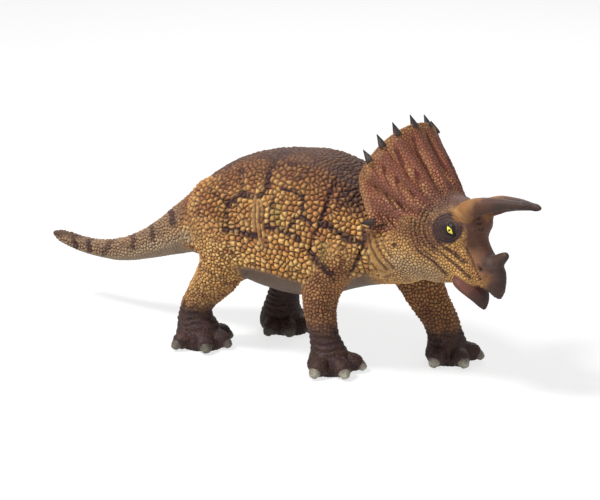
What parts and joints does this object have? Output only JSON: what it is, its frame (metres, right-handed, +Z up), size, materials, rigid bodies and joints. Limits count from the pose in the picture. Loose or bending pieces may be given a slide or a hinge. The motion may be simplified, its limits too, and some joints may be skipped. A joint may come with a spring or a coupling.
{
  "type": "toy dinosaur figure",
  "caption": "Walking horned dinosaur toy figure with a spiked neck frill, brow horns, a nose horn, an open beak and a curved tail, moulded in painted solid plastic.",
  "frame": {"origin": "on the floor, under the middle of the figure's bounding box", "axes": "+X from tail to horns, +Y to the animal's left, +Z up"},
  "size_m": [0.24, 0.0602, 0.1067],
  "materials": {
    "painted_skin": "hand-painted scaled skin, dry-brushed, satin matt",
    "painted_frill": "hand-painted ribbed and scaled skin, satin matt",
    "painted_horn": "smooth painted horn, satin",
    "painted_jaw": "smooth painted beak, satin"
  },
  "bodies": {
    "root": {"torso": "painted_skin", "tail": "painted_skin", "head": "painted_skin", "frill": "painted_frill", "lower_jaw": "painted_jaw", "brow_horn_left": "painted_horn", "brow_horn_right": "painted_horn", "nose_horn": "painted_horn", "foreleg_left": "painted_skin", "foreleg_right": "painted_skin", "hindleg_left": "painted_skin", "hindleg_right": "painted_skin"}
  },
  "joints": []
}
